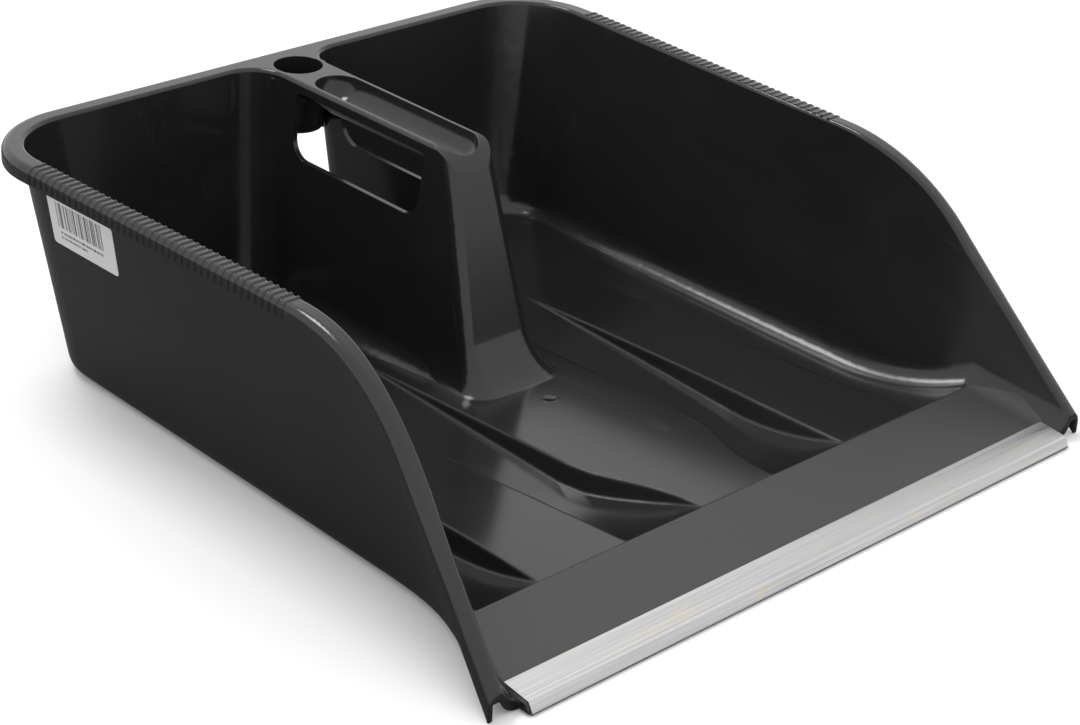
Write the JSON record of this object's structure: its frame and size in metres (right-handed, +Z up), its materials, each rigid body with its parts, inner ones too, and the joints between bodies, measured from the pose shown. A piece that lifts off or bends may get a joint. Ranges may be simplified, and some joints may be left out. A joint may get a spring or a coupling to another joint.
{
  "type": "dust pan",
  "caption": "Deep one-piece moulded dust pan with hand windows, grip trough, broom-handle socket, raised bands up to a sloped front and a metal edge strip.",
  "frame": {"origin": "centre of the footprint, on the surface the pan stands on", "axes": "+X across the pan along its front lip, +Y from the front lip to the back with the handle and the socket, +Z up"},
  "size_m": [0.4232, 0.4343, 0.1317],
  "materials": {
    "pan_plastic": "moulded polypropylene, fine satin gloss",
    "edge_strip": "mill finish",
    "label": null
  },
  "bodies": {
    "root": {"pan": "pan_plastic", "edge_strip": "edge_strip", "label": "label"}
  },
  "joints": []
}
